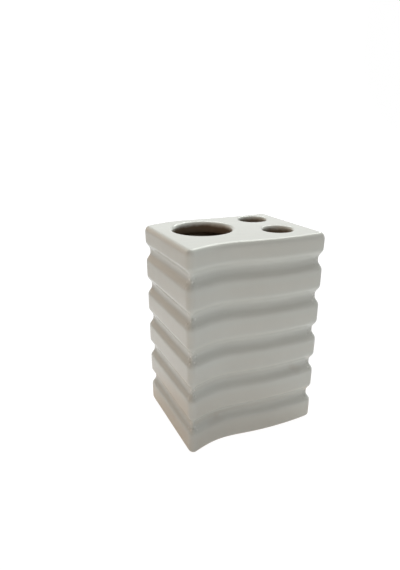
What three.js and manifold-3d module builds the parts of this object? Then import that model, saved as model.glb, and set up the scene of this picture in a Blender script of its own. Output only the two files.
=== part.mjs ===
// A desk pen holder: one hollow block of glazed ceramic with three round mouths in its top.
// Its front and back are gently wavy, its two sides are straight, and level grooves run all
// the way round it, so that it looks like a stack of six soft bands.
// It stands on four small soft pads, stuck in a shallow recess under the base.
//
// Millimetres, +Z up, front towards -Y. The origin is on the desk, under the middle of the
// part's bounding box.

import * as THREE from "three";
import { mergeVertices } from "three/addons/utils/BufferGeometryUtils.js";
import Module from "manifold-3d";

const wasm = await Module();
wasm.setup();

// Block
const width = 76.2;
const depth = 57.8;
const height = 110;
const cornerRadius = 3;
const topEdgeRadius = 2.4;
const footEdgeRadius = 2.6;

// Wave of the front and back faces: its swing to either side, how far the whole face is
// drawn back between its corners, and how far the dip is pushed towards the left one
const waveSwing = 2.3;
const waveHollow = 2.8;
const waveShift = 0.08;

// Bands and grooves
const grooveCount = 5;
const topBandHeight = 13.9;
const footBandHeight = 17.4;
const grooveHalfWidth = 5.4;
const grooveFloorHalfWidth = 1;
const grooveDepth = 2.1;
const bandCrown = 0.2;

// Hollow. Its walls follow the outside, and the share says how much of the depth of the bands
// and grooves shows on them.
const wallThickness = 3.6;
const wallFollowShare = 0.8;
const floorThickness = 5;
const topThickness = 6;
const hollowCornerRadius = 3.4;
const hollowFloorRadius = 4;
const hollowCeilingRadius = 0.5;

// Mouths. Each one lies in from the nearest side (end -1 is the left one, 1 the right one)
// and from the nearest wavy face (side -1 is the front, 1 the rear) by a margin of its own.
const wideMouth = { radius: 15.4, lip: 2, end: -1, endMargin: 9.5, side: 1, sideMargin: 9.1 };
const frontMouth = { radius: 7.7, lip: 1.5, end: 1, endMargin: 9.7, side: -1, sideMargin: 10.8 };
const rearMouth = { radius: 7.7, lip: 1.5, end: 1, endMargin: 8.1, side: 1, sideMargin: 4.75 };

// Base and pads
const footRingWidth = 5;
const recessDepth = 1.2;
const recessCornerRadius = 3;
const padRadius = 5;
const padThickness = 1.8;
const padEdgeRadius = 0.5;
const padToRecessWall = 2;

// Fineness of the curves, in steps. A groove's flanks have a level at each of their shares,
// from its floor to its rim.
const outsideSteps = { corner: 5, wave: 14 };
const hollowSteps = { corner: 3, wave: 10 };
const edgeSteps = 4;
const wideMouthSides = 44;
const narrowMouthSides = 30;
const padSides = 28;
const quarterTurn = Array.from({ length: edgeSteps + 1 }, (_, i) => (i * Math.PI) / 2 / edgeSteps);
const waveSamples = 400;
const outsideFlankShares = [0, 0.2, 0.4, 0.6, 0.8, 1];
const hollowFlankShares = [0, 0.35, 0.65, 1];
const leastLevelStep = 0.02;
const leastCornerRadius = 0.3;
const overrun = 1;

// Heights that follow from the sizes
const baseZ = padThickness - recessDepth;
const recessTopZ = padThickness;
const hollowFloorZ = recessTopZ + floorThickness;
const hollowTopZ = height - topThickness;
const groovePitch = (height - topBandHeight - footBandHeight) / (grooveCount - 1);
const grooveHeights = Array.from({ length: grooveCount }, (_, i) => footBandHeight + i * groovePitch);

// How far the recess lies inside the block's fullest outline
const recessInset = bandCrown + footEdgeRadius + footRingWidth;

// The wave shifts both faces the same way, so that the front and back stay parallel. Seen
// from the front it dips in by the left corner, swells out towards the right one, and dies
// out at both.
function wave(x) {
  const t = THREE.MathUtils.clamp(x / width + 0.5, 0, 1);
  const arch = Math.sin(Math.PI * t);
  return waveSwing * Math.sin(2 * Math.PI * (t + waveShift * arch ** 2)) + waveHollow * arch;
}

function waveSlope(x) {
  const step = 0.01;
  return (wave(x + step) - wave(x - step)) / (2 * step);
}

// The wave makes the block reach a little further back than forward, so every place in Y
// is shifted by this much to bring the middle of the box over the origin.
const waveReach = Array.from({ length: waveSamples + 1 }, (_, i) => wave((i / waveSamples - 0.5) * width));
const middleY = (Math.max(...waveReach) + Math.min(...waveReach)) / 2;

// A place at an inset from the front (side -1) or rear (side 1) face
function faceY(side, x, inset) {
  return side * (depth / 2 - inset) + wave(x) - middleY;
}

// The corners of a ring get tighter the further in it lies, but never quite sharp
function insetRadius(radius, inset) {
  return Math.max(radius - inset, leastCornerRadius);
}

// One rounded corner, as points from one tangent to the other, going anticlockwise
function cornerPoints(side, end, inset, radius, steps) {
  const centreX = end * (width / 2 - inset - radius);
  const tilt = Math.atan(waveSlope(centreX));
  const centreY = faceY(side, centreX, inset) - (side * radius) / Math.cos(tilt);
  const faceAngle = (side * Math.PI) / 2 + tilt;
  const sideAngle = end > 0 ? 0 : side * Math.PI;
  const [from, to] = side === end ? [sideAngle, faceAngle] : [faceAngle, sideAngle];
  return Array.from({ length: steps + 1 }, (_, i) => {
    const angle = from + ((to - from) * i) / steps;
    return new THREE.Vector2(centreX + radius * Math.cos(angle), centreY + radius * Math.sin(angle));
  });
}

// Points along a wavy face, between the corners that it joins
function facePoints(side, from, to, inset, steps) {
  return Array.from({ length: steps - 1 }, (_, i) => {
    const x = from.x + ((to.x - from.x) * (i + 1)) / steps;
    return new THREE.Vector2(x, faceY(side, x, inset));
  });
}

// The closed outline at one level, anticlockwise from the front left corner
function outline(inset, radius, steps) {
  const frontLeft = cornerPoints(-1, -1, inset, radius, steps.corner);
  const frontRight = cornerPoints(-1, 1, inset, radius, steps.corner);
  const rearRight = cornerPoints(1, 1, inset, radius, steps.corner);
  const rearLeft = cornerPoints(1, -1, inset, radius, steps.corner);
  return [
    ...frontLeft,
    ...facePoints(-1, frontLeft.at(-1), frontRight[0], inset, steps.wave),
    ...frontRight,
    ...rearRight,
    ...facePoints(1, rearRight.at(-1), rearLeft[0], inset, steps.wave),
    ...rearLeft,
  ];
}

// A closed body through a stack of outlines, from the lowest level to the highest
function stack(levels, steps) {
  const rings = levels.map((level) => outline(level.inset, level.radius, steps));
  const count = rings[0].length;
  const positions = [];
  rings.forEach((ring, i) => {
    ring.forEach((point) => positions.push(point.x, point.y, levels[i].z));
  });
  const bottomCentre = positions.length / 3;
  const topCentre = bottomCentre + 1;
  positions.push(0, 0, levels[0].z, 0, 0, levels.at(-1).z);
  const faces = [];
  for (let j = 0; j < count; j += 1) {
    const next = (j + 1) % count;
    for (let i = 0; i < rings.length - 1; i += 1) {
      const low = i * count;
      const high = low + count;
      faces.push(low + j, low + next, high + next, low + j, high + next, high + j);
    }
    const last = (rings.length - 1) * count;
    faces.push(bottomCentre, next, j, topCentre, last + j, last + next);
  }
  const geometry = new THREE.BufferGeometry();
  geometry.setAttribute("position", new THREE.Float32BufferAttribute(positions, 3));
  geometry.setIndex(faces);
  return geometry;
}

// How far the bands' and grooves' surface lies inside the fullest outline, at a height.
// Each band swells by the crown at its middle, and a groove has a narrow flat floor between
// soft flanks.
function bandInset(z) {
  const bounds = [baseZ, ...grooveHeights, height];
  const upper = Math.max(1, bounds.findIndex((bound) => bound >= z));
  const middle = (bounds[upper] + bounds[upper - 1]) / 2;
  const half = (bounds[upper] - bounds[upper - 1]) / 2;
  const crown = bandCrown * ((z - middle) / half) ** 2;
  const nearest = Math.min(...grooveHeights.map((groove) => Math.abs(z - groove)));
  const groove = 1 - THREE.MathUtils.smoothstep(nearest, grooveFloorHalfWidth, grooveHalfWidth);
  return crown + grooveDepth * groove;
}

// How much the rounded top and foot edges take off, at a height
function edgeInset(z) {
  return roundedInset(topEdgeRadius, height - z) + roundedInset(footEdgeRadius, z - baseZ);
}

function roundedInset(radius, distance) {
  const into = THREE.MathUtils.clamp(radius - distance, 0, radius);
  return radius - Math.sqrt(radius ** 2 - into ** 2);
}

// Heights at the shares of each groove's flanks
function flankHeights(shares) {
  const distances = shares.map((share) =>
    THREE.MathUtils.lerp(grooveFloorHalfWidth, grooveHalfWidth, share),
  );
  return grooveHeights.flatMap((groove) =>
    distances.flatMap((distance) => [groove - distance, groove + distance]),
  );
}

// The heights from low to high, without those that nearly repeat the one below
function inOrder(heights) {
  return heights
    .sort((a, b) => a - b)
    .filter((z, i, all) => i === 0 || z - all[i - 1] > leastLevelStep);
}

// Levels of the outside: round edges by equal angles, each groove by its own steps, and
// the middle of each band
function blockLevels() {
  const foot = quarterTurn.map((angle) => baseZ + footEdgeRadius * (1 - Math.cos(angle)));
  const top = quarterTurn.map((angle) => height - topEdgeRadius * (1 - Math.sin(angle)));
  const bounds = [baseZ, ...grooveHeights, height];
  const middles = bounds.slice(1).map((bound, i) => (bound + bounds[i]) / 2);
  return inOrder([...foot, ...flankHeights(outsideFlankShares), ...middles, ...top]).map((z) => {
    const inset = bandInset(z) + edgeInset(z);
    return { z, inset, radius: insetRadius(cornerRadius, inset) };
  });
}

// The hollow follows the outside, because a cast wall is about as thick all over. Its floor
// and ceiling are rounded into its walls.
function hollowLevels() {
  const floor = quarterTurn.map((angle) => hollowFloorZ + hollowFloorRadius * (1 - Math.cos(angle)));
  const ceiling = quarterTurn.map((angle) => hollowTopZ - hollowCeilingRadius * (1 - Math.sin(angle)));
  const flanks = flankHeights(hollowFlankShares).filter((z) => z > hollowFloorZ && z < hollowTopZ);
  return inOrder([...floor, ...flanks, ...ceiling]).map((z) => {
    const floorEdge = roundedInset(hollowFloorRadius, z - hollowFloorZ);
    const ceilingEdge = roundedInset(hollowCeilingRadius, hollowTopZ - z);
    const inset = wallThickness + wallFollowShare * bandInset(z) + floorEdge + ceilingEdge;
    return { z, inset, radius: hollowCornerRadius };
  });
}

// A mouth is cut by a turned plug: a straight neck, down past the hollow's rounded ceiling
// edge, with a lip that rolls out into the top
function mouthCutter({ radius, lip, end, endMargin, side, sideMargin }, sides) {
  const lowest = hollowTopZ - hollowCeilingRadius;
  const profile = [
    new THREE.Vector2(0, lowest),
    new THREE.Vector2(radius, lowest),
    ...quarterTurn.map(
      (angle) =>
        new THREE.Vector2(radius + lip * (1 - Math.cos(angle)), height - lip * (1 - Math.sin(angle))),
    ),
    new THREE.Vector2(radius + lip, height + overrun),
    new THREE.Vector2(0, height + overrun),
  ];
  const cutter = new THREE.LatheGeometry(profile, sides);
  cutter.rotateX(Math.PI / 2);
  const x = end * (width / 2 - endMargin - radius);
  cutter.translate(x, faceY(side, x, sideMargin + radius), 0);
  return cutter;
}

function solid(geometry) {
  const bare = geometry.clone();
  bare.deleteAttribute("normal");
  bare.deleteAttribute("uv");
  const merged = mergeVertices(bare);
  const mesh = new wasm.Mesh({
    numProp: 3,
    vertProperties: new Float32Array(merged.attributes.position.array),
    triVerts: new Uint32Array(merged.index.array),
  });
  return new wasm.Manifold(mesh);
}

function bufferGeometry(manifold) {
  const mesh = manifold.getMesh();
  const geometry = new THREE.BufferGeometry();
  geometry.setAttribute("position", new THREE.BufferAttribute(mesh.vertProperties, 3));
  geometry.setIndex(new THREE.BufferAttribute(mesh.triVerts, 1));
  geometry.computeVertexNormals();
  return geometry;
}

function ceramicBody() {
  const recessLevels = [baseZ - overrun, recessTopZ].map((z) => {
    return { z, inset: recessInset, radius: recessCornerRadius };
  });
  const recess = stack(recessLevels, outsideSteps);
  const body = solid(stack(blockLevels(), outsideSteps))
    .subtract(solid(stack(hollowLevels(), hollowSteps)))
    .subtract(solid(mouthCutter(wideMouth, wideMouthSides)))
    .subtract(solid(mouthCutter(frontMouth, narrowMouthSides)))
    .subtract(solid(mouthCutter(rearMouth, narrowMouthSides)))
    .subtract(solid(recess));
  return bufferGeometry(body);
}

// A pad is a flat disc, its lower edge rounded over, with its underside on the desk
function padGeometry() {
  const profile = [
    new THREE.Vector2(0, 0),
    ...quarterTurn.map(
      (angle) =>
        new THREE.Vector2(
          padRadius - padEdgeRadius * (1 - Math.sin(angle)),
          padEdgeRadius * (1 - Math.cos(angle)),
        ),
    ),
    new THREE.Vector2(padRadius, padThickness),
    new THREE.Vector2(0, padThickness),
  ];
  const disc = new THREE.LatheGeometry(profile, padSides);
  disc.rotateX(Math.PI / 2);
  return disc;
}

const glaze = new THREE.MeshStandardMaterial({ color: 0xe9e7de, roughness: 0.14, metalness: 0 });
const padRubber = new THREE.MeshStandardMaterial({ color: 0x55534f, roughness: 0.8, metalness: 0 });

const penHolder = new THREE.Group();

const ceramic = new THREE.Mesh(ceramicBody(), glaze);
ceramic.name = "ceramic_body";
penHolder.add(ceramic);

// One pad in each corner of the recess, the same way in from its two walls
for (const [sideName, side] of [["front", -1], ["rear", 1]]) {
  for (const [endName, end] of [["left", -1], ["right", 1]]) {
    const inset = recessInset + padToRecessWall + padRadius;
    const x = end * (width / 2 - inset);
    const pad = new THREE.Mesh(padGeometry(), padRubber);
    pad.name = `foot_pad_${sideName}_${endName}`;
    pad.position.set(x, faceY(side, x, inset), 0);
    penHolder.add(pad);
  }
}

export default penHolder;
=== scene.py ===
"""A glazed ceramic pen holder, dressed over its fixed frame, with its studio.

The holder is one slip-cast block, wavy at the front and back, with level grooves all round it
and three round mouths in its top. It stands on four soft pads. Everything is in metres, +Z up,
front towards -Y, with the origin on the desk under the middle of the block.
"""

import math

import bmesh
import bpy
from bpy.props import (
    FloatProperty,
    FloatVectorProperty,
    IntProperty,
    PointerProperty,
)
from mathutils import Matrix, Vector, noise


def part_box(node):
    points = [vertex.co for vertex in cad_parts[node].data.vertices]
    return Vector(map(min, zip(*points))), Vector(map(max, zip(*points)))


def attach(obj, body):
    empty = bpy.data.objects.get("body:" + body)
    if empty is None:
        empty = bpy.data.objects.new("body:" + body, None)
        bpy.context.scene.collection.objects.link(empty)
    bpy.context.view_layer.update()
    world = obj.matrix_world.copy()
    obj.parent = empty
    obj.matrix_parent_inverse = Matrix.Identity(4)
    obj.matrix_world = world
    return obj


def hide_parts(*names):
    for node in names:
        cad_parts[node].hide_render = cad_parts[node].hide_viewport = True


bl_info = {
    "name": "Wavy Pen Holder",
    "version": (1, 0, 0),
    "blender": (4, 5, 0),
    "location": "View3D > Sidebar > Pen Holder",
    "description": "Makes a glazed ceramic pen holder, its foot pads and a plain studio",
    "category": "Add Mesh",
}

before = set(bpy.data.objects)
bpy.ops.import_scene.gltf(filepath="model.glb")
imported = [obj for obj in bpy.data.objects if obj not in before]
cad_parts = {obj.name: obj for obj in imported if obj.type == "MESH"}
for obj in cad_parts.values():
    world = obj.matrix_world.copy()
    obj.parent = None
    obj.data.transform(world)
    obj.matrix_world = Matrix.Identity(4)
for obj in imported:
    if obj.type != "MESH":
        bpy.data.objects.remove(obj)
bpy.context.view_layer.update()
BODY_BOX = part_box("ceramic_body")

PADS = {
    "front_left": "foot_pad_front_left",
    "front_right": "foot_pad_front_right",
    "rear_left": "foot_pad_rear_left",
    "rear_right": "foot_pad_rear_right",
}
FRONT, REAR = -1, 1
LEFT, RIGHT = -1, 1
MM = 0.001
UP = Vector((0, 0, 1))
WHITE = (1, 1, 1, 1)

# The block's material slots
OUTER_GLAZE, INNER_GLAZE_SHADED, FOOT_CLAY = 0, 1, 2

# Steps of the round edges
TOP_EDGE_STEPS, FOOT_EDGE_STEPS, LIP_STEPS = 10, 8, 10
RECESS_UPPER_STEPS, RECESS_LOWER_STEPS = 3, 4
FLOOR_EDGE_STEPS, CEILING_EDGE_STEPS = 7, 4
PAD_LOWER_STEPS, PAD_UPPER_STEPS = 6, 3

# Steps round the spun forms
WIDE_MOUTH_STEPS, NARROW_MOUTH_STEPS, PAD_STEPS = 112, 72, 48

# Heights between the levels of the outside and of the hollow
OUTER_LEVEL, INNER_LEVEL = 0.95 * MM, 1.6 * MM

LEAST_CORNER = 0.3 * MM  # the tightest upright corner
FLAT_RIM = 0.15 * MM  # of the flat top, along its edge and round its mouths
NECK_FLARE = 0.3 * MM  # where a mouth's neck opens into the hollow
NEAR = 0.1 * MM  # close enough to a level to lie on it
SHARP = math.radians(50)  # faces that meet at more than this show a crease

# The unevenness that the sponge leaves: noise per metre, and how it fades at top and foot
STRAY_NOISE, STRAY_START = 26, Vector((3.1, 7.7, 0.4))
HAND_NOISE, LEAST_HAND = 55, 0.35
SPONGE_FADE = 8 * MM


# Sizes and colours that a user would change


def length(label, about, default):
    """A size in metres."""
    return FloatProperty(
        name=label, description=about, default=default, unit="LENGTH", precision=5
    )


def margins(label, about, default):
    """Two sizes in metres, across and then front to back."""
    return FloatVectorProperty(
        name=label, description=about, default=default, size=2, unit="LENGTH"
    )


def position(label, about, default):
    """A place in the room, in metres."""
    return FloatVectorProperty(
        name=label,
        description=about,
        default=default,
        size=3,
        subtype="TRANSLATION",
        unit="LENGTH",
    )


def turn(label, about, degrees):
    """An angle, given in degrees."""
    return FloatProperty(
        name=label, description=about, default=math.radians(degrees), unit="ROTATION"
    )


def colour(label, about, default):
    """A linear colour with alpha."""
    return FloatVectorProperty(
        name=label, description=about, default=default, subtype="COLOR", size=4, min=0, max=1
    )


class BlockSizes(bpy.types.PropertyGroup):
    """The ceramic block."""

    width: length("Width", "Across the block, side to side", 76.2 * MM)
    depth: length("Depth", "Between the two wavy faces", 57.8 * MM)
    base: length("Base height", "From the desk to the foot ring", BODY_BOX[0].z)
    height: length("Height", "From the desk to the flat top", BODY_BOX[1].z)
    corner_radius: length("Corner radius", "Of the four upright corners", 3 * MM)
    top_edge_width: length("Top edge width", "How far the top's round edge reaches in", 2.5 * MM)
    top_edge_drop: length("Top edge drop", "How far down that edge reaches", 3.2 * MM)
    foot_edge_radius: length("Foot edge radius", "Of the edge round the base", 2.6 * MM)
    wave_swing: length("Wave swing", "How far the wavy faces swing to either side", 2.3 * MM)
    wave_hollow: length("Wave hollow", "How far they are drawn back between the corners", 2.8 * MM)
    wave_shift: FloatProperty(
        name="Wave shift", description="How far the dip is pushed to the left", default=0.08
    )
    groove_count: IntProperty(name="Grooves", description="Level grooves", default=5, min=2)
    top_band: length("Top band", "From the top to the highest groove", 13.9 * MM)
    foot_band: length("Foot band", "From the desk to the lowest groove", 17.4 * MM)
    groove_half_width: length("Groove half width", "Half of a groove's height", 5.4 * MM)
    groove_floor: length("Groove floor", "Half of the flat floor of a groove", 1 * MM)
    groove_depth: length("Groove depth", "Of each groove below its bands", 2.1 * MM)
    band_crown: length("Band crown", "How much the middle of a band swells", 0.2 * MM)
    hand: length("Hand finish", "How uneven the sponged surface is", 0.09 * MM)
    groove_wander: length("Groove wander", "How far a groove strays up and down", 0.45 * MM)


class HollowSizes(bpy.types.PropertyGroup):
    """The room inside the block, its mouths and its base."""

    wall: length("Wall", "Thickness of the cast wall", 3.6 * MM)
    floor: length("Floor", "Height of the hollow's floor", 6.8 * MM)
    ceiling: length("Ceiling", "Height of the hollow's ceiling", 104 * MM)
    corner_radius: length("Corner radius", "Of the hollow's upright corners", 3.4 * MM)
    floor_radius: length("Floor radius", "Where the floor runs into the walls", 4 * MM)
    ceiling_radius: length("Ceiling radius", "Where the walls run into the ceiling", 0.5 * MM)
    follow: FloatProperty(
        name="Follow",
        description="How much of the grooves shows inside",
        default=0.8,
        subtype="FACTOR",
        min=0,
        max=1,
    )
    wide_radius: length("Wide mouth", "Radius of the wide mouth", 15.4 * MM)
    wide_lip: length("Wide lip", "Rounding of the wide mouth", 2 * MM)
    wide_margins: margins(
        "Wide margins",
        "From the left side and from the rear face to the wide mouth",
        (9.5 * MM, 9.1 * MM),
    )
    narrow_radius: length("Narrow mouths", "Radius of the two narrow mouths", 7.7 * MM)
    narrow_lip: length("Narrow lip", "Rounding of the narrow mouths", 1.5 * MM)
    front_margins: margins(
        "Front margins",
        "From the right side and from the front face to the front mouth",
        (9.7 * MM, 10.8 * MM),
    )
    rear_margins: margins(
        "Rear margins",
        "From the right side and from the rear face to the rear mouth",
        (8.1 * MM, 4.75 * MM),
    )
    foot_ring: length("Foot ring", "Width of the flat ring that was wiped clean", 5 * MM)
    recess_depth: length("Recess depth", "Of the shallow recess in the base", 1.2 * MM)
    recess_corner: length("Recess corner", "Radius of the recess's corners", 3 * MM)
    recess_edge: length("Recess edge", "Rounding of the recess's rim", 0.35 * MM)


class PadSizes(bpy.types.PropertyGroup):
    """The soft pads under the base."""

    edge_radius: length("Edge radius", "Rounding of a pad's lower edge", 0.5 * MM)
    upper_edge: length("Upper edge", "Small rounding of a pad's upper edge", 0.12 * MM)
    film: length("Adhesive", "Thickness of the adhesive film", 0.12 * MM)
    film_margin: length("Film margin", "How far the film lies inside the pad", 0.25 * MM)


class Finishes(bpy.types.PropertyGroup):
    """Colours of the glaze, clay, rubber and adhesive, with the painted shade and painted glints in
    the glaze.
    """

    glaze: colour("Glaze", "The full coat of glaze", (0.785, 0.80, 0.76, 1))
    # pooled: darker glaze where it gathers in the grooves, made darker still as painted shade in
    # and just below them
    pooled: colour("Pooled glaze", "Where it gathers in the grooves", (0.665, 0.68, 0.65, 1))
    thin: colour("Thin glaze", "Where it runs thin over the edges", (0.80, 0.76, 0.69, 1))
    dull: colour("Dull patches", "Large soft patches in the glaze", (0.62, 0.60, 0.55, 1))
    smudge: colour("Smudges", "Faint smudges in the grooves", (0.46, 0.38, 0.32, 1))
    bubble: colour("Bubbles", "Fine bubbles at the corners of the grooves", (0.34, 0.34, 0.29, 1))
    # bead: painted glints, bright specks that stand in for highlights at the corners of the grooves
    bead: colour("Beads", "Bright beads among the bubbles", (1.0, 1.0, 0.97, 1))
    speck: colour("Specks", "Iron specks in the glaze", (0.30, 0.22, 0.15, 1))
    # inner and inner_run: painted shade, dark browns laid over the inside glaze where the hollow
    # lies in shadow
    inner: colour("Inner glaze", "The thinner coat inside", (0.30, 0.23, 0.17, 1))
    inner_run: colour("Inner runs", "Where that coat runs thinnest", (0.24, 0.18, 0.13, 1))
    clay: colour("Clay", "The bare fired clay of the foot", (0.62, 0.54, 0.43, 1))
    clay_stain: colour("Clay stains", "Stains in the clay", (0.45, 0.37, 0.28, 1))
    clay_grain: colour("Clay grain", "Pale grains in the clay", (0.75, 0.69, 0.58, 1))
    rubber: colour("Rubber", "The pads", (0.085, 0.08, 0.075, 1))
    dust: colour("Dust", "Dust on the pads", (0.30, 0.28, 0.25, 1))
    film: colour("Film", "The adhesive film", (0.55, 0.55, 0.5, 1))
    film_cloud: colour("Film cloud", "Cloudy places in the film", (0.38, 0.36, 0.3, 1))


class Studio(bpy.types.PropertyGroup):
    """Camera, lamps, floor and backdrop."""

    camera_place: position(
        "Camera place", "Where the camera stands", (-0.111118, -0.192943, 0.161531)
    )
    camera_yaw: turn("Yaw", "Turn to the right", 25.827)
    camera_pitch: turn("Pitch", "Tilt down", 20.521)
    camera_roll: turn("Roll", "Lean to the side", -0.299)
    camera_lens: FloatProperty(
        name="Lens", description="Focal length", default=27.435, unit="CAMERA"
    )
    floor: colour("Floor", "The pale floor", (0.60, 0.60, 0.60, 1))
    floor_reach: length("Floor reach", "From the block to the edges of the floor", 4.0)
    backdrop_height: length("Backdrop", "Height of the backdrop", 3.0)
    backdrop_bend: length("Bend", "How far the sweep from floor to backdrop reaches", 1.0)
    key: FloatProperty(
        name="Key lamp", description="Behind and above the block", default=51.0, unit="POWER"
    )
    key_tint: colour("Key tint", "Colour of the key lamp", (0.965, 1.0, 0.965, 1))
    key_place: position("Key place", "Where the key lamp hangs", (1.05, 1.15, 2.0))
    key_size: length("Key size", "Across the key lamp", 2.0)
    sky: FloatProperty(name="Sky", description="Light from all round", default=0.27)
    sky_tint: colour("Sky tint", "Colour of the light from all round", (0.98, 0.985, 0.96, 1))
    warm: FloatProperty(name="Warm side", description="Light from the left", default=0.42)
    warm_tint: colour("Warm tint", "Colour of the light from the left", (1.0, 0.66, 0.40, 1))
    glow: FloatProperty(name="Floor glow", description="Light that the paper adds", default=0.28)


# Materials


class Wire:
    """A socket of a node, on which Python's signs add Math nodes."""

    def __init__(self, recipe, socket):
        self.recipe = recipe
        self.socket = socket

    def _math(self, operation, *values):
        sockets = dict(enumerate(values))
        return self.recipe.add("ShaderNodeMath", {"operation": operation}, sockets)

    def __add__(self, other):
        return self._math("ADD", self, other)

    def __radd__(self, other):
        return self._math("ADD", other, self)

    def __sub__(self, other):
        return self._math("SUBTRACT", self, other)

    def __rsub__(self, other):
        return self._math("SUBTRACT", other, self)

    def __mul__(self, other):
        return self._math("MULTIPLY", self, other)

    def __rmul__(self, other):
        return self._math("MULTIPLY", other, self)

    def __abs__(self):
        return self._math("ABSOLUTE", self)

    def wrapped(self, low, high):
        """The value, brought round into a range."""
        return self._math("WRAP", self, high, low)

    def most(self, other):
        """The greater of two values."""
        return self._math("MAXIMUM", self, other)

    def eased(self, low, high, start=0.0, end=1.0):
        """Runs softly from start to end while the value goes from low to high."""
        sockets = {0: self, 1: low, 2: high, 3: start, 4: end}
        return self.recipe.add("ShaderNodeMapRange", {"interpolation_type": "SMOOTHSTEP"}, sockets)


class Recipe:
    """The nodes of a new material, or of the world."""

    def __init__(self, owner):
        self.owner = owner
        owner.use_nodes = True
        self.tree = owner.node_tree
        self.tree.nodes.clear()

    def add(self, kind, settings=None, sockets=None, out=0):
        """One node: its settings first, then the value or link of each socket.

        Gives back one of its outputs, unless it has none.
        """
        node = self.tree.nodes.new(kind)
        for name, value in (settings or {}).items():
            setattr(node, name, value)
        for key, value in (sockets or {}).items():
            if isinstance(value, Wire):
                self.tree.links.new(value.socket, node.inputs[key])
            else:
                node.inputs[key].default_value = value
        return Wire(self, node.outputs[out]) if node.outputs else None

    def place(self, stretch=(1, 1, 1)):
        """The place on the piece, in metres, stretched along the axes."""
        here = self.add("ShaderNodeTexCoord", out="Object")
        return self.add("ShaderNodeMapping", None, {"Vector": here, "Scale": stretch})

    def axis(self, name, vector=None):
        """The X, Y or Z of a vector, or else of the place on the piece."""
        return self.add("ShaderNodeSeparateXYZ", None, {0: vector or self.place()}, out=name)

    def cloud(self, size, detail=2.0, stretch=(1, 1, 1), rough=0.5):
        """Soft noise from 0 to 1 with patches of a size in metres."""
        sockets = {
            "Vector": self.place(stretch),
            "Scale": 1 / size,
            "Detail": detail,
            "Roughness": rough,
        }
        return self.add("ShaderNodeTexNoise", {"normalize": True}, sockets)

    def cells(self, spacing, feature):
        """The distance to the middle of the nearest cell, as a share of the spacing."""
        sockets = {"Vector": self.place(), "Scale": 1 / spacing, "Randomness": 1.0}
        return self.add("ShaderNodeTexVoronoi", {"feature": feature}, sockets, out="Distance")

    def spots(self, spacing, radius):
        """Round spots, 1 in their middles, one in each cell."""
        return self.cells(spacing, "F1").eased(0.0, radius / spacing, 1.0, 0.0)

    def mix(self, share, first, second):
        """A colour that goes from the first to the second."""
        sockets = {0: share, 6: first, 7: second}
        return self.add("ShaderNodeMix", {"data_type": "RGBA"}, sockets, out=2)

    def bump(self, height, distance, under=None):
        """Raises the surface by the height, which goes from 0 to 1, times the distance."""
        sockets = {"Height": height, "Distance": distance, "Strength": 1.0}
        if under:
            sockets["Normal"] = under
        return self.add("ShaderNodeBump", None, sockets)

    def ray(self, kind):
        """1 for rays of one kind, and 0 for all others."""
        return self.add("ShaderNodeLightPath", out=f"Is {kind} Ray")

    def seen(self):
        """1 for rays that show the background, and 0 for those that light the object."""
        return self.ray("Camera").most(self.ray("Glossy")).most(self.ray("Transmission"))

    def finish(self, shader, output="ShaderNodeOutputMaterial"):
        """Ends the nodes with a shader. Returns the material, or the world."""
        self.add(output, None, {"Surface": shader})
        return self.owner

    def surface(self, sockets):
        """Ends a material with the Principled shader."""
        return self.finish(self.add("ShaderNodeBsdfPrincipled", None, sockets))


def groove_pitch(sizes):
    """The height from one groove to the next."""
    return (sizes.height - sizes.top_band - sizes.foot_band) / (sizes.groove_count - 1)


def groove_distance(r, z, sizes):
    """How far a place lies from the nearest pool of glaze, which sags below its groove and also
    marks the painted shade there.
    """
    wander = (r.cloud(30 * MM) - 0.5) * (3 * MM)
    sag = 1.2 * MM
    half = groove_pitch(sizes) / 2
    return abs((z + wander + sag - sizes.foot_band).wrapped(-half, half))


def foam(r, pooled_corner):
    """Fine bubbles, and painted glints among them (bright specks that stand in for highlights),
    where the pools of glaze are deepest.
    """
    bubbles = r.spots(1.7 * MM, 0.95 * MM) * pooled_corner
    # Painted glints: bright specks that stand in for highlights
    painted_glints = r.spots(2.2 * MM, 1 * MM) * pooled_corner
    return bubbles, painted_glints


def glaze_relief(r, froth):
    """Soft ripples, a fine orange peel, pinholes and the froth, as one normal."""
    normal = r.bump(r.cloud(11 * MM, detail=1.0), 0.22 * MM)
    normal = r.bump(r.cloud(1.6 * MM, detail=1.0), 0.008 * MM, under=normal)
    normal = r.bump(1 - r.spots(5.3 * MM, 0.12 * MM), 0.05 * MM, under=normal)
    return r.bump(froth, 0.12 * MM, under=normal)


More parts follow.
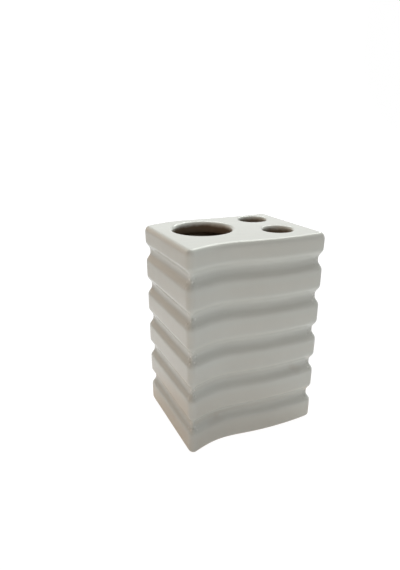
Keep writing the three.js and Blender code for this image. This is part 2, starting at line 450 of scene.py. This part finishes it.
def glazed(name, sizes, finishes, room=None):
    """Glossy glaze over clay, with its pools in the grooves (darker, partly as painted shade), thin
    edges, specks, painted glints and soft ripples.

    With a room, it is the inside's glaze, painted dark brown as shade in the hollow and the necks,
    which turns into the outside's at the lips.
    """
    # How much of each colour shows, where 1 is all of it
    pooling_and_shade, thinning, dulling, smudging = 0.6, 0.35, 0.10, 0.24
    bubbling, glint_share, specking = 0.45, 1.3, 0.55
    pool_reach = 5.5 * MM

    r = Recipe(bpy.data.materials.new(name))
    z = r.axis("Z")
    nearest = groove_distance(r, z, sizes)
    below_top = z.eased(sizes.height - 7 * MM, sizes.height - 4 * MM, 1.0, 0.0)
    # Darker glaze in and just below each groove: partly real pooling, partly painted shade where
    # the grooves lie in shadow
    pooled = nearest.eased(0.0, pool_reach, 1.0, 0.0) * below_top
    crest = nearest.eased(pool_reach, 8.5 * MM)
    runs = r.cloud(6 * MM, detail=3.0, stretch=(1, 1, 0.12))
    patches = r.cloud(22 * MM, detail=3.0)
    smudges = r.cloud(16 * MM).eased(0.62, 0.75) * pooled
    specks = r.spots(9 * MM, 0.16 * MM)
    corner = abs(r.axis("X")).eased(30.5 * MM, 36 * MM) * abs(r.axis("Y")).eased(22.5 * MM, 27 * MM)
    bubbles, painted_glints = foam(r, corner * nearest.eased(1 * MM, 5 * MM, 1.0, 0.0) * below_top)

    coat = r.mix(pooled * pooling_and_shade, finishes.glaze, finishes.pooled)
    coat = r.mix(crest * runs * thinning, coat, finishes.thin)
    coat = r.mix(patches.eased(0.3, 0.7, 0.0, dulling), coat, finishes.dull)
    coat = r.mix(smudges * smudging, coat, finishes.smudge)
    coat = r.mix(bubbles * bubbling, coat, finishes.bubble)
    # Painted glints: bright specks that stand in for highlights among the bubbles
    coat = r.mix(painted_glints * glint_share, coat, finishes.bead)
    roughness = patches.eased(0.3, 0.7, 0.06, 0.12) + specks * 0.2
    if room:
        # Painted shade: the hollow and the necks are coloured dark brown up to just below the lips,
        # where they lie in shadow
        ragged = (r.cloud(5 * MM) - 0.5) * (2 * MM)
        neck_end, lip_start = room.ceiling + 3 * MM, sizes.height - 0.7 * MM
        inside_shade = (z + ragged).eased(neck_end, lip_start, 1.0, 0.0)
        inner = r.mix(runs.eased(0.3, 0.7, 0.0, 0.4), finishes.inner, finishes.inner_run)
        coat = r.mix(inside_shade, coat, inner)
        roughness = roughness + inside_shade * 0.12
    coat = r.mix(specks * specking, coat, finishes.speck)

    sockets = {
        "Base Color": coat,
        "Roughness": roughness,
        "IOR": 1.45,
        "Normal": glaze_relief(r, painted_glints - bubbles),
    }
    return r.surface(sockets)


def bare_clay(finishes):
    """The wiped foot ring: dry fired clay with a fine grain and stray glaze."""
    r = Recipe(bpy.data.materials.new("bare_clay"))
    grain = r.cloud(0.4 * MM, detail=4.0, rough=0.7)
    stains = r.cloud(9 * MM, detail=4.0)
    stray_glaze = r.cloud(4 * MM, detail=3.0).eased(0.60, 0.66)
    tone = r.mix(stains.eased(0.35, 0.7, 0.0, 0.5), finishes.clay, finishes.clay_stain)
    tone = r.mix(grain.eased(0.45, 0.75, 0.0, 0.35), tone, finishes.clay_grain)
    tone = r.mix(stray_glaze, tone, finishes.glaze)
    sockets = {
        "Base Color": tone,
        "Roughness": stray_glaze.eased(0.0, 1.0, 0.9, 0.3),
        "Normal": r.bump(grain, 0.06 * MM),
    }
    return r.surface(sockets)


def pad_rubber(finishes):
    """Matt soft rubber with a fine pebble and a little dust."""
    r = Recipe(bpy.data.materials.new("pad_rubber"))
    pebble = r.cells(0.35 * MM, "SMOOTH_F1")
    most_dust = 0.35
    dust = r.cloud(2.2 * MM, detail=4.0).eased(0.5, 0.75, 0.0, most_dust)
    sockets = {
        "Base Color": r.mix(dust, finishes.rubber, finishes.dust),
        "Roughness": dust.eased(0.0, most_dust, 0.62, 0.85),
        "Normal": r.bump(pebble, 0.03 * MM),
    }
    return r.surface(sockets)


def adhesive(finishes):
    """The thin, slightly cloudy film that holds a pad."""
    r = Recipe(bpy.data.materials.new("adhesive_film"))
    cloudy = r.cloud(1.5 * MM, detail=3.0)
    sockets = {
        "Base Color": r.mix(cloudy.eased(0.3, 0.8, 0.0, 0.5), finishes.film, finishes.film_cloud),
        "Roughness": cloudy.eased(0.2, 0.8, 0.3, 0.55),
    }
    return r.surface(sockets)


# Shape of the block


class Block:
    """The block's level outlines: wavy at the front and back, with rounded corners."""

    corner_steps = 8
    wave_steps = 60
    side_steps = 16
    reach_steps = 400

    def __init__(self, sizes):
        """Takes over every size of the block, under the name that it has there."""
        for name in BlockSizes.__annotations__:
            setattr(self, name, getattr(sizes, name))
        pitch = groove_pitch(sizes)
        self.grooves = [sizes.foot_band + i * pitch for i in range(sizes.groove_count)]
        shares = [i / self.reach_steps for i in range(self.reach_steps + 1)]
        reach = [self.wave((share - 0.5) * self.width) for share in shares]
        self.middle_y = (max(reach) + min(reach)) / 2

    def wave(self, x):
        """How far the wavy faces are shifted back at a place across the width."""
        t = min(max(x / self.width + 0.5, 0.0), 1.0)
        arch = math.sin(math.pi * t)
        phase = math.tau * (t + self.wave_shift * arch**2)
        return self.wave_swing * math.sin(phase) + self.wave_hollow * arch

    def face_y(self, side, x, inset):
        """A place at an inset from the front or rear face."""
        return side * (self.depth / 2 - inset) + self.wave(x) - self.middle_y

    def corner(self, side, end, inset, radius):
        """Points round one upright corner, anticlockwise."""
        x = end * (self.width / 2 - inset - radius)
        step = 0.01 * MM
        tilt = math.atan((self.wave(x + step) - self.wave(x - step)) / (2 * step))
        y = self.face_y(side, x, inset) - side * radius / math.cos(tilt)
        by_face = side * math.pi / 2 + tilt
        by_side = 0.0 if end == RIGHT else side * math.pi
        start, stop = (by_side, by_face) if side == end else (by_face, by_side)
        points = []
        for i in range(self.corner_steps + 1):
            angle = start + (stop - start) * i / self.corner_steps
            points.append(Vector((x + radius * math.cos(angle), y + radius * math.sin(angle))))
        return points

    def face(self, side, start, stop, inset):
        """Points along a wavy face, between two corners."""
        run = stop.x - start.x
        places = [start.x + run * i / self.wave_steps for i in range(1, self.wave_steps)]
        return [Vector((x, self.face_y(side, x, inset))) for x in places]

    def side(self, start, stop):
        """Points along a straight side, between two corners."""
        return [start.lerp(stop, i / self.side_steps) for i in range(1, self.side_steps)]

    def outline(self, inset, radius):
        """The closed outline at one level, anticlockwise from the front left corner."""
        front_left = self.corner(FRONT, LEFT, inset, radius)
        front_right = self.corner(FRONT, RIGHT, inset, radius)
        rear_right = self.corner(REAR, RIGHT, inset, radius)
        rear_left = self.corner(REAR, LEFT, inset, radius)
        return [
            *front_left,
            *self.face(FRONT, front_left[-1], front_right[0], inset),
            *front_right,
            *self.side(front_right[-1], rear_right[0]),
            *rear_right,
            *self.face(REAR, rear_right[-1], rear_left[0], inset),
            *rear_left,
            *self.side(rear_left[-1], front_left[0]),
        ]

    def corner_at(self, inset):
        """The radius of the upright corners at an inset, which tightens them."""
        return max(self.corner_radius - inset, LEAST_CORNER)

    def band_inset(self, z):
        """How far the bands and grooves lie inside the fullest outline."""
        bounds = [self.base, *self.grooves, self.height]
        upper = next((i for i, bound in enumerate(bounds) if bound >= z), len(bounds) - 1)
        upper = max(upper, 1)
        middle = (bounds[upper] + bounds[upper - 1]) / 2
        half = (bounds[upper] - bounds[upper - 1]) / 2
        crown = self.band_crown * ((z - middle) / half) ** 2
        nearest = min(abs(z - groove) for groove in self.grooves)
        flank = (nearest - self.groove_floor) / (self.groove_half_width - self.groove_floor)
        flank = min(max(flank, 0.0), 1.0)
        return crown + self.groove_depth * (1 - flank**2 * (3 - 2 * flank))

    def edge_inset(self, z):
        """How much the round top and foot edges take off."""
        share = self.top_edge_width / self.top_edge_drop
        top = rounding(self.top_edge_width, (self.height - z) * share)
        return top + rounding(self.foot_edge_radius, z - self.base)


def rounding(radius, distance):
    """The inset of a round edge at a distance below its end."""
    into = min(max(radius - distance, 0.0), radius)
    return radius - math.sqrt(radius**2 - into**2)


def quarter(steps):
    """Angles from 0 to a right angle."""
    return [i * math.pi / 2 / steps for i in range(steps + 1)]


def between(start, stop, gap):
    """Even heights between two, about a gap apart, without the two themselves."""
    count = round((stop - start) / gap)
    return [start + (stop - start) * i / count for i in range(1, count)]


def first_ring(bm, points, z):
    """A closed ring of vertices, laid on the points at a height."""
    ring = bmesh.ops.create_circle(bm, cap_ends=False, segments=len(points), radius=1)["verts"]
    for vert, point in zip(ring, points):
        vert.co = (point.x, point.y, z)
    return ring


def ring_edges(bm, ring):
    """The edges of a closed ring of vertices."""
    return [bm.edges.get(pair) for pair in zip(ring, ring[1:] + ring[:1])]


def grow_ring(bm, ring, points, z):
    """Extrudes a closed ring to its next level and lays it on the points there."""
    made = bmesh.ops.extrude_edge_only(bm, edges=ring_edges(bm, ring))["geom"]
    fresh = {item for item in made if isinstance(item, bmesh.types.BMVert)}
    grown = [
        next(edge.other_vert(vert) for edge in vert.link_edges if edge.other_vert(vert) in fresh)
        for vert in ring
    ]
    for vert, point in zip(grown, points):
        vert.co = (point.x, point.y, z)
    return grown


def grow_levels(bm, levels, outline):
    """A skin through (height, inset, corner radius) levels. Returns its first and last ring."""
    z, inset, radius = levels[0]
    first = last = first_ring(bm, outline(inset, radius), z)
    for z, inset, radius in levels[1:]:
        last = grow_ring(bm, last, outline(inset, radius), z)
    return first, last


def spin_profile(bm, centre, profile, steps):
    """Spins (radius, height) places round an upright axis."""
    verts = [bm.verts.new((centre.x + radius, centre.y, z)) for radius, z in profile]
    edges = [bm.edges.new(pair) for pair in zip(verts, verts[1:])]
    bmesh.ops.spin(
        bm,
        geom=verts + edges,
        cent=(centre.x, centre.y, 0),
        axis=UP,
        angle=math.tau,
        steps=steps,
        use_merge=True,
    )


def spin_mouth(bm, centre, profile, steps):
    """Spins a mouth from its profile. Returns the edges of its lower and upper rim."""
    others = set(bm.edges)
    spin_profile(bm, centre, profile, steps)
    rims = [edge for edge in bm.edges if edge not in others and edge.is_boundary]
    middle = (profile[0][1] + profile[-1][1]) / 2
    lower = [edge for edge in rims if edge.verts[0].co.z < middle]
    upper = [edge for edge in rims if edge.verts[0].co.z > middle]
    return lower, upper


def cap(bm, ring):
    """Closes a level ring with one flat face."""
    bmesh.ops.contextual_create(bm, geom=ring_edges(bm, ring))


def close_flat(bm, edges):
    """Fills between flat loops of edges, leaving the holes that the inner ones make."""
    bmesh.ops.triangle_fill(bm, use_beauty=True, use_dissolve=False, edges=edges, normal=UP)


def smooth_object(bm, name, materials):
    """Turns a bmesh into an object of the scene with smooth faces."""
    for face in bm.faces:
        face.smooth = True
    mesh = bpy.data.meshes.new(name)
    bm.to_mesh(mesh)
    bm.free()
    for material in materials:
        mesh.materials.append(material)
    made = bpy.data.objects.new(name, mesh)
    bpy.context.scene.collection.objects.link(made)
    return made


def closed_piece(bm, name, materials):
    """Checks that the mesh is closed, turns its faces outwards and makes it an object."""
    loose = [edge for edge in bm.edges if not edge.is_manifold]
    if loose:
        raise RuntimeError(f"{name} has {len(loose)} edges that don't join two faces")
    bmesh.ops.recalc_face_normals(bm, faces=bm.faces)
    if bm.calc_volume(signed=True) < 0:
        bmesh.ops.reverse_faces(bm, faces=bm.faces)
    made = smooth_object(bm, name, materials)
    made.data.set_sharp_from_angle(angle=SHARP)
    return made


# Pieces and stage


class PENHOLDER_OT_ceramic_body(bpy.types.Operator):
    """Make the glazed block with its grooves, mouths, hollow and foot"""

    bl_idname = "penholder.ceramic_body"
    bl_label = "Ceramic Body"

    def execute(self, context):
        sizes = context.scene.penholder_block
        room = context.scene.penholder_hollow
        finishes = context.scene.penholder_finishes
        block = Block(sizes)
        mouths = self.mouths(block, room)
        bm = bmesh.new()
        recess_rim, top_rim = self.outside(bm, block, room)
        floor_rim, ceiling_rim = self.inside(bm, block, room)
        cap(bm, recess_rim)
        cap(bm, floor_rim)
        lower_rims, upper_rims = self.necks(bm, block, room, mouths)
        close_flat(bm, ring_edges(bm, top_rim) + upper_rims)
        close_flat(bm, ring_edges(bm, ceiling_rim) + lower_rims)
        materials = [
            glazed("white_glaze", sizes, finishes),
            glazed("inner_glaze", sizes, finishes, room),
            bare_clay(finishes),
        ]
        body = closed_piece(bm, "glazed_block", materials)
        self.share_out(body, block, room, mouths)
        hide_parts("ceramic_body")
        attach(body, "root")
        return {"FINISHED"}

    def outside(self, bm, block, room):
        """From the rim of the recess round the foot and up to the rim of the flat top."""
        recess_inset = block.band_crown + block.foot_edge_radius + room.foot_ring
        recess_z = block.base + room.recess_depth
        edge, corner = room.recess_edge, room.recess_corner
        levels = []
        for angle in quarter(RECESS_UPPER_STEPS):
            z = recess_z - edge * (1 - math.cos(angle))
            levels.append((z, recess_inset + edge * (1 - math.sin(angle)), corner))
        for angle in quarter(RECESS_LOWER_STEPS):
            z = block.base + edge * (1 - math.sin(angle))
            levels.append((z, recess_inset - edge * (1 - math.cos(angle)), corner))
        for z in self.heights(block):
            inset = block.band_inset(z) + block.edge_inset(z)
            levels.append((z, inset, block.corner_at(inset)))
        inset = levels[-1][1] + FLAT_RIM
        levels.append((block.height, inset, block.corner_at(inset)))
        first, last = grow_levels(bm, levels, block.outline)
        self.sponge(bm, block)
        return first, last

    def heights(self, block):
        """Heights of the outside's levels: closest together in the round edges."""
        foot_edge, drop = block.foot_edge_radius, block.top_edge_drop
        foot = [block.base + foot_edge * (1 - math.cos(a)) for a in quarter(FOOT_EDGE_STEPS)]
        top = [block.height - drop * (1 - math.sin(a)) for a in quarter(TOP_EDGE_STEPS)]
        return foot + between(foot[-1], top[0], OUTER_LEVEL) + top

    def sponge(self, bm, block):
        """Gives the outside the slight unevenness of a block that was sponged by hand."""
        for vert in bm.verts:
            here = vert.co.copy()
            above_foot, below_top = here.z - block.base, block.height - here.z
            if above_foot < NEAR / 10:
                continue
            free = min(above_foot / SPONGE_FADE, below_top / SPONGE_FADE, 1.0)
            stray = noise.noise(here * STRAY_NOISE + STRAY_START)
            vert.co.z += block.groove_wander * stray * max(free, 0.0)
            soft = 0.5 + 0.5 * noise.noise(here * HAND_NOISE)
            outwards = Vector((here.x, here.y, 0)).normalized()
            vert.co -= outwards * block.hand * (1 + soft) * max(free, LEAST_HAND)

    def inside(self, bm, block, room):
        """From the rim of the hollow's floor up to the rim of its ceiling."""
        low, high = room.floor_radius, room.ceiling_radius
        floor = [room.floor + low * (1 - math.cos(a)) for a in quarter(FLOOR_EDGE_STEPS)]
        ceiling = [room.ceiling - high * (1 - math.sin(a)) for a in quarter(CEILING_EDGE_STEPS)]
        levels = [
            (z, self.wall_inset(block, room, z), room.corner_radius)
            for z in floor + between(floor[-1], ceiling[0], INNER_LEVEL) + ceiling
        ]
        return grow_levels(bm, levels, block.outline)

    def wall_inset(self, block, room, z):
        """How far the hollow's wall lies inside the block's fullest outline."""
        edges = rounding(room.floor_radius, z - room.floor)
        edges += rounding(room.ceiling_radius, room.ceiling - z)
        return room.wall + room.follow * block.band_inset(z) + edges

    def mouths(self, block, room):
        """Centre, radius, lip and steps of each mouth."""
        wide = (room.wide_radius, room.wide_lip, WIDE_MOUTH_STEPS)
        narrow = (room.narrow_radius, room.narrow_lip, NARROW_MOUTH_STEPS)
        places = [
            (LEFT, REAR, room.wide_margins, wide),
            (RIGHT, FRONT, room.front_margins, narrow),
            (RIGHT, REAR, room.rear_margins, narrow),
        ]
        made = []
        for end, side, (across, inwards), (radius, lip, steps) in places:
            x = end * (block.width / 2 - across - radius)
            centre = Vector((x, block.face_y(side, x, inwards + radius)))
            made.append((centre, radius, lip, steps))
        return made

    def necks(self, bm, block, room, mouths):
        """The three mouths, each a straight neck with a lip that rolls out into the top."""
        lower_rims, upper_rims = [], []
        for centre, radius, lip, steps in mouths:
            profile = [(radius + NECK_FLARE, room.ceiling), (radius, room.ceiling + NECK_FLARE)]
            profile += [
                (radius + lip * (1 - math.cos(a)), block.height - lip * (1 - math.sin(a)))
                for a in quarter(LIP_STEPS)
            ]
            profile.append((radius + lip + FLAT_RIM, block.height))
            lower, upper = spin_mouth(bm, centre, profile, steps)
            lower_rims += lower
            upper_rims += upper
        return lower_rims, upper_rims

    def share_out(self, body, block, room, mouths):
        """Gives the inside its glaze with painted shade and the foot ring its bare clay."""
        for face in body.data.polygons:
            if face.center.z < block.base + room.recess_edge and face.normal.z < -0.6:
                face.material_index = FOOT_CLAY
            elif self.is_inner(face, block, room, mouths):
                face.material_index = INNER_GLAZE_SHADED
            else:
                face.material_index = OUTER_GLAZE

    def is_inner(self, face, block, room, mouths):
        """True in the hollow and in the necks of the mouths, as far as their lips."""
        x, y, z = face.center
        level = abs(face.normal.z) > 0.5
        if not room.floor - NEAR < z < block.height - NEAR:
            return False
        if z < room.floor + NEAR:
            return level
        if z < room.ceiling - NEAR:
            return face.normal.dot(Vector((x, y, 0)).normalized()) < 0
        if z < room.ceiling + NEAR and level:
            return True
        here = Vector((x, y))
        return any((here - centre).length < radius + lip / 3 for centre, radius, lip, _ in mouths)


class PENHOLDER_OT_foot_pads(bpy.types.Operator):
    """Make the four soft pads and the film that holds each one"""

    bl_idname = "penholder.foot_pads"
    bl_label = "Foot Pads"

    def execute(self, context):
        sizes = context.scene.penholder_pads
        finishes = context.scene.penholder_finishes
        rubber = pad_rubber(finishes)
        film = adhesive(finishes)
        for place, node in PADS.items():
            low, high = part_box(node)
            centre = (low + high) / 2
            radius = (high.x - low.x) / 2
            top = high.z - sizes.film
            profile = self.pad_profile(low.z, top, radius, sizes)
            pad = self.disc(f"rubber_pad_{place}", centre, profile, rubber)
            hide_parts(node)
            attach(pad, "root")
            inner = radius - sizes.film_margin
            profile = [(0, top), (inner, top), (inner, high.z), (0, high.z)]
            sticker = self.disc(f"adhesive_film_{place}", centre, profile, film)
            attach(sticker, "root")
        return {"FINISHED"}

    def pad_profile(self, bottom, top, radius, sizes):
        """(radius, height) places from the middle of the underside round to the upper face."""
        profile = [(0, bottom), (radius / 2, bottom)]
        for angle in quarter(PAD_LOWER_STEPS):
            r = radius - sizes.edge_radius * (1 - math.sin(angle))
            profile.append((r, bottom + sizes.edge_radius * (1 - math.cos(angle))))
        for angle in quarter(PAD_UPPER_STEPS):
            r = radius - sizes.upper_edge * (1 - math.cos(angle))
            profile.append((r, top - sizes.upper_edge * (1 - math.sin(angle))))
        return [*profile, (0, top)]

    def disc(self, name, centre, profile, material):
        """A disc spun from its profile round an upright axis."""
        bm = bmesh.new()
        spin_profile(bm, centre, profile, PAD_STEPS)
        bmesh.ops.remove_doubles(bm, verts=bm.verts, dist=0.001 * MM)
        return closed_piece(bm, name, [material])


class PENHOLDER_OT_studio(bpy.types.Operator):
    """Make the floor, the backdrop, the lamps and the camera"""

    bl_idname = "penholder.studio"
    bl_label = "Studio"

    def execute(self, context):
        scene = context.scene
        studio = scene.penholder_studio
        scene.view_settings.view_transform = "Standard"
        self.ground(studio)
        scene.world = self.sky(studio)
        self.key_lamp(scene, studio)
        self.camera(scene, studio)
        return {"FINISHED"}

    def ground(self, studio):
        """A wide floor that sweeps up into the backdrop."""
        bm = bmesh.new()
        bmesh.ops.create_grid(bm, x_segments=1, y_segments=1, size=studio.floor_reach)
        rear = [edge for edge in bm.edges if all(vert.co.y > 0 for vert in edge.verts)]
        made = bmesh.ops.extrude_edge_only(bm, edges=rear)["geom"]
        upper = [item for item in made if isinstance(item, bmesh.types.BMVert)]
        bmesh.ops.translate(bm, verts=upper, vec=UP * studio.backdrop_height)
        bmesh.ops.bevel(
            bm,
            geom=rear,
            offset=studio.backdrop_bend,
            segments=16,
            profile=0.5,
            affect="EDGES",
            material=-1,
        )
        ground = smooth_object(bm, "floor_and_backdrop", [self.paper(studio)])

    def paper(self, studio):
        """Pale paper that reads as white where no shadow falls on it."""
        r = Recipe(bpy.data.materials.new("pale_paper"))
        camera = r.ray("Camera")
        far = r.add("ShaderNodeVectorMath", {"operation": "LENGTH"}, {0: r.place()}, out="Value")
        clear = far.eased(0.035, 0.085)  # 0 under the block and 1 past its foot

        # The paper that the object is lit by: matt, with a faint glow that is a little dimmer under
        # the block, as a painted shadow
        matt = r.add("ShaderNodeBsdfDiffuse", None, {"Color": studio.floor})
        glow = r.add("ShaderNodeEmission", None, {"Strength": (clear * 0.1 + 0.9) * studio.glow})
        lighting = r.add("ShaderNodeAddShader", None, {0: matt, 1: glow})

        # The paper that is seen: white to the camera, but in the glaze's mirror it is dimmer
        # at the foot (a painted shadow of the block) and further out on the floor, and warm at the
        # foot and to the left (painted warm reflections)
        floor_dims = far.eased(0.14, 0.3, 1.0, 0.6)
        backdrop_stays = r.axis("Z").eased(0.1, 0.5, 0.6, 1.0)
        mirrored = (clear * 0.45 + 0.55) * floor_dims.most(backdrop_stays)
        leftward = r.axis("X").eased(-1.2, -0.2, 0.6, 0.0)
        warmth = leftward.most(1 - clear) * (1 - camera)
        sockets = {
            "Color": r.mix(warmth, WHITE, studio.warm_tint),
            "Strength": camera * (1.15 - mirrored) + mirrored,
        }
        shown = r.add("ShaderNodeEmission", None, sockets)

        share = r.seen() * far.eased(0.12, 0.5, 0.8, 1.0)
        return r.finish(r.add("ShaderNodeMixShader", None, {0: share, 1: lighting, 2: shown}))

    def sky(self, studio):
        """A dim even light, warm from the left, which is white behind the floor's far edge."""
        r = Recipe(bpy.data.worlds.new("studio_sky"))
        way = r.add("ShaderNodeTexCoord")
        camera = r.ray("Camera")
        leftward = r.axis("X", way).eased(-0.98, -0.35, 1.0, 0.0)
        lit = leftward * (studio.warm - studio.sky) + studio.sky
        mirrored = r.axis("Z", way).eased(0.1, 0.5, 1.0, 0.65) * (1 - leftward * 0.35)
        level = camera.most(r.seen() * (mirrored - lit) + lit)
        tint = r.mix(leftward, studio.sky_tint, studio.warm_tint)
        tint = r.mix(camera, tint, WHITE)
        light = r.add("ShaderNodeBackground", None, {"Color": tint, "Strength": level})
        return r.finish(light, "ShaderNodeOutputWorld")

    def key_lamp(self, scene, studio):
        """A large soft square lamp that points at the block."""
        data = bpy.data.lights.new("key_lamp", "AREA")
        data.shape = "SQUARE"
        data.size = studio.key_size
        data.energy = studio.key
        data.color = studio.key_tint[:3]
        lamp = bpy.data.objects.new("key_lamp", data)
        lamp.location = studio.key_place
        target = (BODY_BOX[0] + BODY_BOX[1]) / 2
        lamp.rotation_euler = (target - lamp.location).to_track_quat("-Z", "Y").to_euler()
        scene.collection.objects.link(lamp)

    def camera(self, scene, studio):
        """The camera, turned to the right, tilted down and then leaned to the side."""
        data = bpy.data.cameras.new("camera")
        data.lens = studio.camera_lens
        data.clip_start = 0.01
        data.clip_end = 20
        camera = bpy.data.objects.new("camera", data)
        camera.matrix_world = (
            Matrix.Translation(studio.camera_place)
            @ Matrix.Rotation(-studio.camera_yaw, 4, "Z")
            @ Matrix.Rotation(math.pi / 2 - studio.camera_pitch, 4, "X")
            @ Matrix.Rotation(studio.camera_roll, 4, "Z")
        )
        scene.collection.objects.link(camera)
        scene.camera = camera


# Sidebar and registration


class PENHOLDER_PT_sidebar(bpy.types.Panel):
    """Lists the pieces in the sidebar"""

    bl_label = "Pen Holder"
    bl_space_type = "VIEW_3D"
    bl_region_type = "UI"
    bl_category = "Pen Holder"

    def draw(self, context):
        layout = self.layout
        for operator in OPERATORS:
            layout.operator(operator.bl_idname)
        for group in GROUPS:
            box = layout.box()
            settings = getattr(context.scene, group)
            for name in settings.__annotations__:
                box.prop(settings, name)


OPERATORS = (PENHOLDER_OT_ceramic_body, PENHOLDER_OT_foot_pads, PENHOLDER_OT_studio)
GROUPS = {
    "penholder_block": BlockSizes,
    "penholder_hollow": HollowSizes,
    "penholder_pads": PadSizes,
    "penholder_finishes": Finishes,
    "penholder_studio": Studio,
}
CLASSES = (*GROUPS.values(), *OPERATORS, PENHOLDER_PT_sidebar)


def register():
    for cls in CLASSES:
        bpy.utils.register_class(cls)
    for name, group in GROUPS.items():
        setattr(bpy.types.Scene, name, PointerProperty(type=group))


def unregister():
    for name in GROUPS:
        delattr(bpy.types.Scene, name)
    for cls in reversed(CLASSES):
        bpy.utils.unregister_class(cls)


def main():
    register()
    bpy.ops.penholder.ceramic_body()
    bpy.ops.penholder.foot_pads()
    bpy.ops.penholder.studio()


if __name__ == "__main__":
    main()
